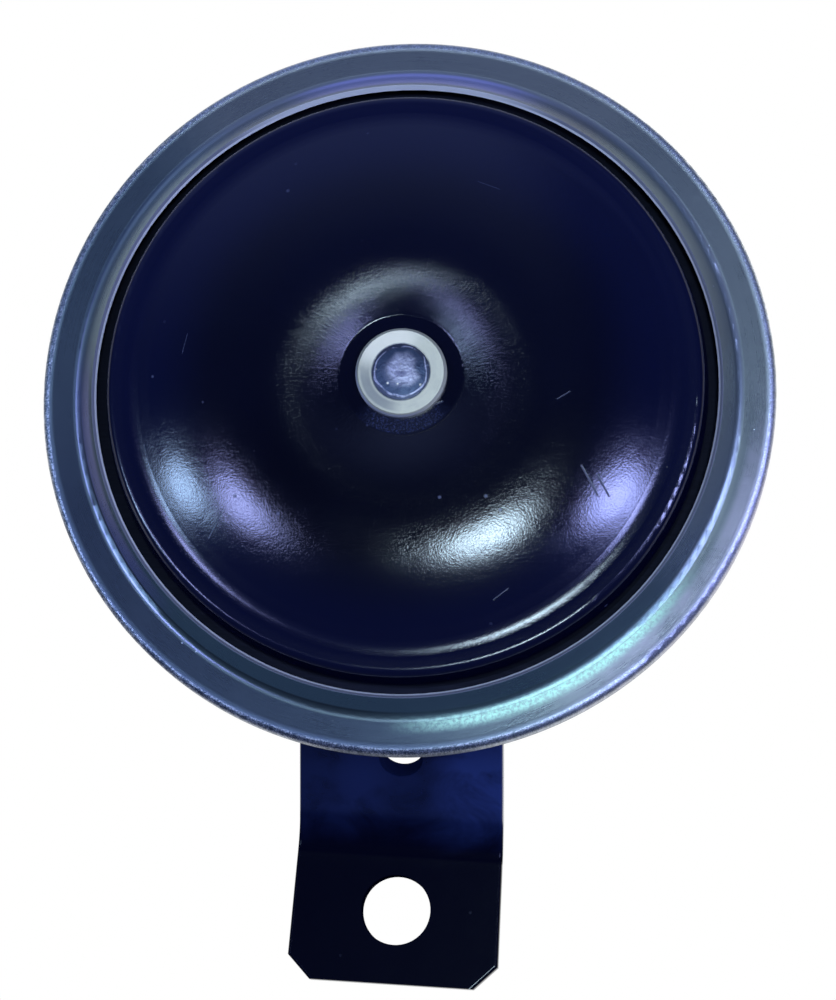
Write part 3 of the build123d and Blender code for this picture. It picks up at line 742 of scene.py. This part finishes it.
class HornMetalSettings(bpy.types.PropertyGroup):
    """Colours of the plated, turned and wound pieces."""

    zinc: colour_property("Zinc", "Blue passivated zinc", (0.24, 0.30, 0.32))
    zinc_pale: colour_property("Pale zinc", "Lighter clouds in the zinc", (0.31, 0.37, 0.38))
    # Film tone and painted light, used on the right and at the top of the ring.
    lit_film_zinc: colour_property("Warm zinc", "Greyer film on one half", (0.44, 0.46, 0.44))
    # Film tone and painted shade, used on the left of the ring and on a band at the right.
    shaded_film_zinc: colour_property("Deep zinc", "Thick dark film on the left", (0.130, 0.178, 0.215))
    # Pale film and painted highlights of the lip.
    lip_sheen: colour_property("Pale lip", "Thin pale film on the lip", (0.66, 0.80, 0.72))
    # Painted shade, used in the crease and round the outermost edge.
    zinc_shade: colour_property(
        "Dark crease", "Grime in the crease and round the outermost edge", (0.10, 0.13, 0.13)
    )
    sheared: colour_property("Sheared edge", "Sheared edge of the lip", (0.28, 0.29, 0.33))
    # Painted shade, used on the flat at the lower left.
    low_shade_zinc: colour_property(
        "Low zinc", "Darkest film, on the flat at the lower left", (0.062, 0.080, 0.124)
    )
    # Teal film and a painted reflection, used on the lower half of the lip.
    lip_film_reflection: colour_property("Lip shade", "Dark teal grey film on the lip", (0.42, 0.66, 0.56))
    # Lavender film and painted highlights, used on the lip and in the crease.
    lavender: colour_property("Lavender", "Lavender film on the lip", (0.62, 0.60, 0.90))
    # Greenish film and a painted reflection, used near the crease at the lower right.
    cyan_film_sheen: colour_property("Cyan", "Greenish film near the crease", (0.60, 0.95, 0.74))
    # Lavender grey film and a painted reflection, used on the flat at the right.
    violet: colour_property("Violet", "Lavender grey film on the land", (0.60, 0.56, 0.66))
    cut_edge: colour_property(
        "Cut edge", "Bright corner of the lip's sheared edge", (0.95, 0.94, 0.90)
    )
    burnished: colour_property("Burnished", "Rubbed outer edge", (0.80, 0.84, 0.92))
    collar: colour_property("Collar", "Cream zinc of the collar", (0.80, 0.76, 0.52))
    # Dull patches of the collar, and painted shade towards its left.
    collar_dull_and_shade: colour_property("Dull collar", "Duller patches of the collar", (0.52, 0.50, 0.36))
    # Painted highlight of the collar, also the colour of the nicks in the stem's end.
    collar_highlight_and_nicks: colour_property(
        "Bright collar", "Rubbed bright sweep of the collar", (1.0, 0.92, 0.66)
    )
    crescent: colour_property("Crescent", "Shaded crescent of the collar", (0.22, 0.23, 0.22))
    # Painted reflection in the middle of the stem's end.
    stem_face_reflection: colour_property("Stem face", "Hammered middle of the stem", (0.52, 0.51, 0.58))
    # Painted lavender highlight, used round the stem's end and near the collar's outer edge.
    stem_glint: colour_property(
        "Stem line", "Thin broken line round the stem's end", (0.44, 0.44, 0.52)
    )
    stem_rim: colour_property("Stem rim", "Darker rim of the stem", (0.058, 0.080, 0.125))
    steel: colour_property("Steel", "Turned steel", (0.42, 0.42, 0.43))
    steel_dark: colour_property("Dark steel", "Darker turned steel", (0.27, 0.27, 0.29))
    blued: colour_property("Blued sheet", "Blued and oiled diaphragm", (0.012, 0.013, 0.022))
    plate: colour_property("Plate", "Plain zinc plate", (0.55, 0.57, 0.60))
    brass: colour_property("Brass", "Clean brass", (0.60, 0.42, 0.16))
    brass_dark: colour_property("Dark brass", "Tarnished brass", (0.33, 0.21, 0.08))
    copper: colour_property("Copper", "Enamelled copper wire", (0.50, 0.17, 0.06))
    copper_dark: colour_property("Dark copper", "Shaded copper wire", (0.26, 0.08, 0.03))
    stud_pitch: FloatProperty(
        name="Stud pitch", description="Thread pitch of the rear stud in mm", default=1.25, min=0.3
    )
    wire_size: FloatProperty(
        name="Wire", description="Diameter of the coil's wire in mm", default=0.55, min=0.1
    )


class HornDetailSettings(bpy.types.PropertyGroup):
    """Sizes of what is added to the frame."""

    drop_radius: FloatProperty(
        name="Drop radius",
        description="Radius of the lacquer drop",
        default=2.7 * MM,
        unit="LENGTH",
    )
    drop_height: FloatProperty(
        name="Drop height",
        description="Height of the lacquer drop on the insert",
        default=0.75 * MM,
        unit="LENGTH",
    )
    drop_seed: IntProperty(
        name="Drop seed", description="Which uneven edge the drop has", default=7
    )


class HornStageSettings(bpy.types.PropertyGroup):
    """Camera, lamps and floor."""

    camera_place: FloatVectorProperty(
        name="Camera",
        description="Where the camera stands",
        default=(0.033496, -0.37413, -0.027248),
        subtype="XYZ",
        unit="LENGTH",
    )
    camera_right: FloatVectorProperty(
        name="Camera right",
        description="Direction to the right of the view",
        default=(0.994682, 0.076979, 0.068421),
    )
    camera_up: FloatVectorProperty(
        name="Camera up",
        description="Upward direction of the view",
        default=(-0.050055, -0.219259, 0.974382),
    )
    lens: FloatProperty(
        name="Lens", description="Focal length in mm for a 36 mm long side", default=102.69
    )
    floor_drop: FloatProperty(
        name="Floor drop",
        description="Height of the floor under the fixing hole",
        default=-0.30,
        unit="LENGTH",
    )
    world_level: FloatProperty(
        name="Room light", description="Strength of the room's soft light", default=1.0
    )
    lamp_level: FloatProperty(name="Lamps", description="Factor on all lamps", default=1.0)
    lamp_reach: FloatProperty(
        name="Lamp reach", description="From the horn to each lamp", default=2.0, unit="LENGTH"
    )


# ---------------------------------------------------------------- operators


class HORN_OT_disc(bpy.types.Operator):
    """Paint the tone disc"""

    bl_idname = "horn.disc"
    bl_label = "Tone Disc"

    def execute(self, context):
        paint = context.scene.horn_paint
        rough = paint.disc_roughness
        finish = gloss_paint("disc_paint", paint.disc, rough, 1.0, 1.0, DISC_MARKS, True)
        dress(finish, "tone_disc")
        return {"FINISHED"}


class HORN_OT_ring(bpy.types.Operator):
    """Plate the clamp ring"""

    bl_idname = "horn.ring"
    bl_label = "Clamp Ring"

    def execute(self, context):
        dress(passivated_zinc(context.scene.horn_metal), "clamp_ring")
        return {"FINISHED"}


class HORN_OT_centre(bpy.types.Operator):
    """Finish the collar, the stem and what is threaded on it"""

    bl_idname = "horn.centre"
    bl_label = "Collar and Stem"

    def execute(self, context):
        metal = context.scene.horn_metal
        dress(cream_zinc(metal), "collar_ring")
        dress(peened_steel(metal), "armature", "spacer_bush")
        return {"FINISHED"}


class HORN_OT_strap(bpy.types.Operator):
    """Paint the mounting strap"""

    bl_idname = "horn.strap"
    bl_label = "Mounting Strap"

    def execute(self, context):
        paint = context.scene.horn_paint
        dress(strap_paint(paint), "mounting_strap")
        return {"FINISHED"}


class HORN_OT_body(bpy.types.Operator):
    """Paint the housing"""

    bl_idname = "horn.body"
    bl_label = "Housing"

    def execute(self, context):
        paint = context.scene.horn_paint
        dress(gloss_paint("body_paint", paint.body, 0.32, 1.3, 1.4), "housing")
        return {"FINISHED"}


class HORN_OT_diaphragm(bpy.types.Operator):
    """Finish the diaphragm and its gaskets"""

    bl_idname = "horn.diaphragm"
    bl_label = "Diaphragm and Gaskets"

    def execute(self, context):
        paint = context.scene.horn_paint
        metal = context.scene.horn_metal
        dark = [c * 0.45 for c in paint.gasket]
        dress(pressed_paper("gasket_paper", paint.gasket, dark), "front_gasket", "rear_gasket")
        dress(rolled_steel("blued_sheet", metal.blued, 0.5), "diaphragm")
        dress(rolled_steel("spring_sheet", metal.steel, 0.28), "moving_contact_leaf")
        return {"FINISHED"}


class HORN_OT_magnet(bpy.types.Operator):
    """Finish the core, the bobbin and the winding"""

    bl_idname = "horn.magnet"
    bl_label = "Magnet"

    def execute(self, context):
        paint = context.scene.horn_paint
        metal = context.scene.horn_metal
        dress(threaded_steel(metal), "pole_core")
        dress(moulded_plastic("bobbin_nylon", paint.bobbin, 0.45), "coil_bobbin")
        dress(wound_wire(metal), "coil_winding")
        return {"FINISHED"}


class HORN_OT_contacts(bpy.types.Operator):
    """Finish the contact breaker"""

    bl_idname = "horn.contacts"
    bl_label = "Contact Breaker"

    def execute(self, context):
        paint = context.scene.horn_paint
        metal = context.scene.horn_metal
        brass = machined_brass(metal)
        dress(brass, "fixed_contact_arm", "stack_rivets", "adjusting_insert")
        dress(brass, "terminal_blades", "terminal_rivets")
        tungsten = rolled_steel("contact_metal", metal.steel_dark, 0.4)
        dress(tungsten, "fixed_contact_point", "moving_contact_point")
        dark = [c * 0.5 for c in paint.board]
        board = pressed_paper("insulating_board", paint.board, dark)
        dress(board, "contact_insulators", "terminal_inner_plate")
        dress(moulded_plastic("block_phenolic", paint.block, 0.4), "terminal_block")
        return {"FINISHED"}


class HORN_OT_fasteners(bpy.types.Operator):
    """Finish the plated bracket, washers, screw and nut"""

    bl_idname = "horn.fasteners"
    bl_label = "Plated Fasteners"

    def execute(self, context):
        metal = context.scene.horn_metal
        dull = [c * 0.7 for c in metal.plate]
        plate = zinc_plate("plain_zinc", metal.plate, dull, 0.34)
        dress(
            plate,
            "front_washer",
            "rear_washer",
            "contact_bracket",
            "bracket_rivet",
            "adjusting_screw",
            "flat_washer",
            "spring_washer",
            "strap_nut",
        )
        return {"FINISHED"}


class HORN_OT_seal(bpy.types.Operator):
    """Put the lacquer drop round the adjusting screw"""

    bl_idname = "horn.seal"
    bl_label = "Sealing Drop"

    def execute(self, context):
        detail = context.scene.horn_detail
        scatter = random.Random(detail.drop_seed)
        middle = (SCREW_LOW + SCREW_HIGH) / 2
        centre = Vector((middle.x, INSERT_HIGH.y, middle.z))
        lobes = DROP_POINTS // POINTS_PER_LOBE
        wobble = [scatter.uniform(0.82, 1.08) for _ in range(lobes)]
        shape = bmesh.new()
        rings = []
        for share, lift in DROP_RINGS:
            ring = []
            for step in range(DROP_POINTS):
                lobe = step // POINTS_PER_LOBE
                first = wobble[lobe % lobes]
                second = wobble[(lobe + 1) % lobes]
                mix = (step % POINTS_PER_LOBE) / POINTS_PER_LOBE
                mix = mix * mix * (3 - 2 * mix)
                edge = (first + (second - first) * mix) if share > 0.8 else 1.0
                turn = math.tau * step / DROP_POINTS
                reach = detail.drop_radius * share * edge
                out = Vector((math.cos(turn), 0.0, math.sin(turn))) * reach
                out.y = detail.drop_height * lift
                ring.append(shape.verts.new(centre + out))
            rings.append(ring)
        for low, high in zip(rings, rings[1:]):
            for step in range(DROP_POINTS):
                after = (step + 1) % DROP_POINTS
                shape.faces.new((low[step], high[step], high[after], low[after]))
        mesh = bpy.data.meshes.new("seal_drop")
        bmesh.ops.recalc_face_normals(shape, faces=shape.faces)
        shape.to_mesh(mesh)
        shape.free()
        for face in mesh.polygons:
            face.use_smooth = True
        drop = bpy.data.objects.new("seal_drop", mesh)
        context.scene.collection.objects.link(drop)
        smooth = drop.modifiers.new("rounded", "SUBSURF")
        smooth.levels = smooth.render_levels = 1
        mesh.materials.append(sealing_lacquer(context.scene.horn_paint))
        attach(drop, BODY)
        return {"FINISHED"}


class HORN_OT_stage(bpy.types.Operator):
    """Set the camera, the lamps, the room's light and the floor"""

    bl_idname = "horn.stage"
    bl_label = "Stage"

    def execute(self, context):
        stage = context.scene.horn_stage
        self.add_camera(context, stage)
        self.add_world(context, stage)
        self.add_lamps(context, stage)
        self.add_floor(context, stage)
        context.scene.view_settings.view_transform = "Standard"
        return {"FINISHED"}

    @staticmethod
    def add_camera(context, stage):
        lens = bpy.data.cameras.new("camera")
        lens.lens = stage.lens
        lens.sensor_width = SENSOR
        lens.clip_start = 0.01
        lens.clip_end = 20.0
        camera = bpy.data.objects.new("camera", lens)
        right = Vector(stage.camera_right).normalized()
        up = Vector(stage.camera_up)
        up = (up - right * up.dot(right)).normalized()
        back = right.cross(up)
        turn = Matrix((right, up, back)).transposed().to_4x4()
        camera.matrix_world = Matrix.Translation(stage.camera_place) @ turn
        context.scene.collection.objects.link(camera)
        context.scene.camera = camera

    @staticmethod
    def add_world(context, stage):
        world = bpy.data.worlds.new("room")
        world.use_nodes = True
        context.scene.world = world
        sheet = Sheet(world.node_tree)
        direction = sheet.out(sheet.node("ShaderNodeTexCoord"), "Generated")
        across, depth, height = sheet.split(direction)
        sky = height.rise(0.15, 1.0) * (across.rise(0.40, 0.05) * 0.85 + 0.15)
        room = sheet.mix(sky, (0.024, 0.036, 0.100), (0.20, 0.27, 0.60))
        room = sheet.mix(depth.rise(-0.1, 0.5), room, (0.62, 0.66, 0.74))
        soft = {"Color": room, "Strength": stage.world_level}
        light = sheet.node("ShaderNodeBackground", None, soft)
        plain = {"Color": (1.0, 1.0, 1.0, 1.0), "Strength": 1.0}
        white = sheet.node("ShaderNodeBackground", None, plain)
        ray = sheet.node("ShaderNodeLightPath")
        seen = sheet.out(ray, "Is Camera Ray").most(sheet.out(ray, "Is Transmission Ray"))
        mirrored = sheet.out(ray, "Is Glossy Ray") * depth.rise(0.1, 0.6)
        factor = seen.most(mirrored)
        both = {0: factor, 1: sheet.out(light), 2: sheet.out(white)}
        mixed = sheet.node("ShaderNodeMixShader", None, both)
        sheet.node("ShaderNodeOutputWorld", None, {"Surface": sheet.out(mixed)})

    @staticmethod
    def add_lamps(context, stage):
        centre = Vector((0.0, RIM_LOW.y, AXIS_HEIGHT))
        for name, direction, width, height, power, tint in LAMPS:
            data = bpy.data.lights.new(name, "AREA")
            data.shape = "ELLIPSE"
            data.size = width
            data.size_y = height
            data.energy = power * stage.lamp_level
            data.color = tint
            lamp = bpy.data.objects.new(name, data)
            away = Vector(direction).normalized()
            turn = away.to_track_quat("Z", "Y").to_matrix().to_4x4()
            lamp.matrix_world = Matrix.Translation(centre + away * stage.lamp_reach) @ turn
            lamp.visible_camera = False
            context.scene.collection.objects.link(lamp)

    @staticmethod
    def add_floor(context, stage):
        mesh = bpy.data.meshes.new("floor")
        square = ((-1, -1), (1, -1), (1, 1), (-1, 1))
        corners = [(x * FLOOR_REACH, y * FLOOR_REACH) for x, y in square]
        mesh.from_pydata([(x, y, stage.floor_drop) for x, y in corners], [], [(0, 1, 2, 3)])
        material, sheet = new_finish("pale_floor")
        _, depth, _ = sheet.split(sheet.place())
        ray = sheet.node("ShaderNodeLightPath")
        seen = sheet.out(ray, "Is Camera Ray").most(sheet.out(ray, "Is Transmission Ray"))
        seen = seen.most(sheet.out(ray, "Is Glossy Ray") * depth.rise(0.0, 0.6))
        cloth = sheet.node("ShaderNodeBsdfDiffuse", None, {"Color": (0.08, 0.10, 0.18, 1.0)})
        pale = sheet.node("ShaderNodeBsdfDiffuse", None, {"Color": (0.62, 0.58, 0.50, 1.0)})
        shine = {"Color": (1.0, 1.0, 0.99, 1.0), "Strength": 0.78}
        glow = sheet.node("ShaderNodeEmission", None, shine)
        bright = sheet.node("ShaderNodeAddShader", None, {0: sheet.out(pale), 1: sheet.out(glow)})
        both = {0: seen, 1: sheet.out(cloth), 2: sheet.out(bright)}
        floor = sheet.node("ShaderNodeMixShader", None, both)
        sheet.node("ShaderNodeOutputMaterial", None, {"Surface": sheet.out(floor)})
        mesh.materials.append(material)
        floor = bpy.data.objects.new("floor", mesh)
        context.scene.collection.objects.link(floor)


STEPS = (
    HORN_OT_disc,
    HORN_OT_ring,
    HORN_OT_centre,
    HORN_OT_strap,
    HORN_OT_body,
    HORN_OT_diaphragm,
    HORN_OT_magnet,
    HORN_OT_contacts,
    HORN_OT_fasteners,
    HORN_OT_seal,
    HORN_OT_stage,
)


class HORN_PT_steps(bpy.types.Panel):
    """Lists the horn's settings and steps"""

    bl_idname = "HORN_PT_steps"
    bl_label = "Disc Horn"
    bl_space_type = "VIEW_3D"
    bl_region_type = "UI"
    bl_category = "Horn"

    def draw(self, context):
        for step in STEPS:
            self.layout.operator(step.bl_idname)
        for name in SETTINGS:
            group = getattr(context.scene, name)
            for prop in group.bl_rna.properties:
                if prop.identifier not in ("name", "rna_type"):
                    self.layout.prop(group, prop.identifier)


SETTINGS = {
    "horn_paint": HornPaintSettings,
    "horn_metal": HornMetalSettings,
    "horn_detail": HornDetailSettings,
    "horn_stage": HornStageSettings,
}
CLASSES = (*SETTINGS.values(), *STEPS, HORN_PT_steps)


def register():
    for cls in CLASSES:
        bpy.utils.register_class(cls)
    for name, group in SETTINGS.items():
        setattr(bpy.types.Scene, name, PointerProperty(type=group))


def unregister():
    for name in SETTINGS:
        delattr(bpy.types.Scene, name)
    for cls in reversed(CLASSES):
        bpy.utils.unregister_class(cls)


def main():
    register()
    for step in STEPS:
        area, name = step.bl_idname.split(".")
        result = getattr(getattr(bpy.ops, area), name)()
        if result != {"FINISHED"}:
            raise RuntimeError(f"{step.bl_label} did not finish")


if __name__ == "__main__":
    main()
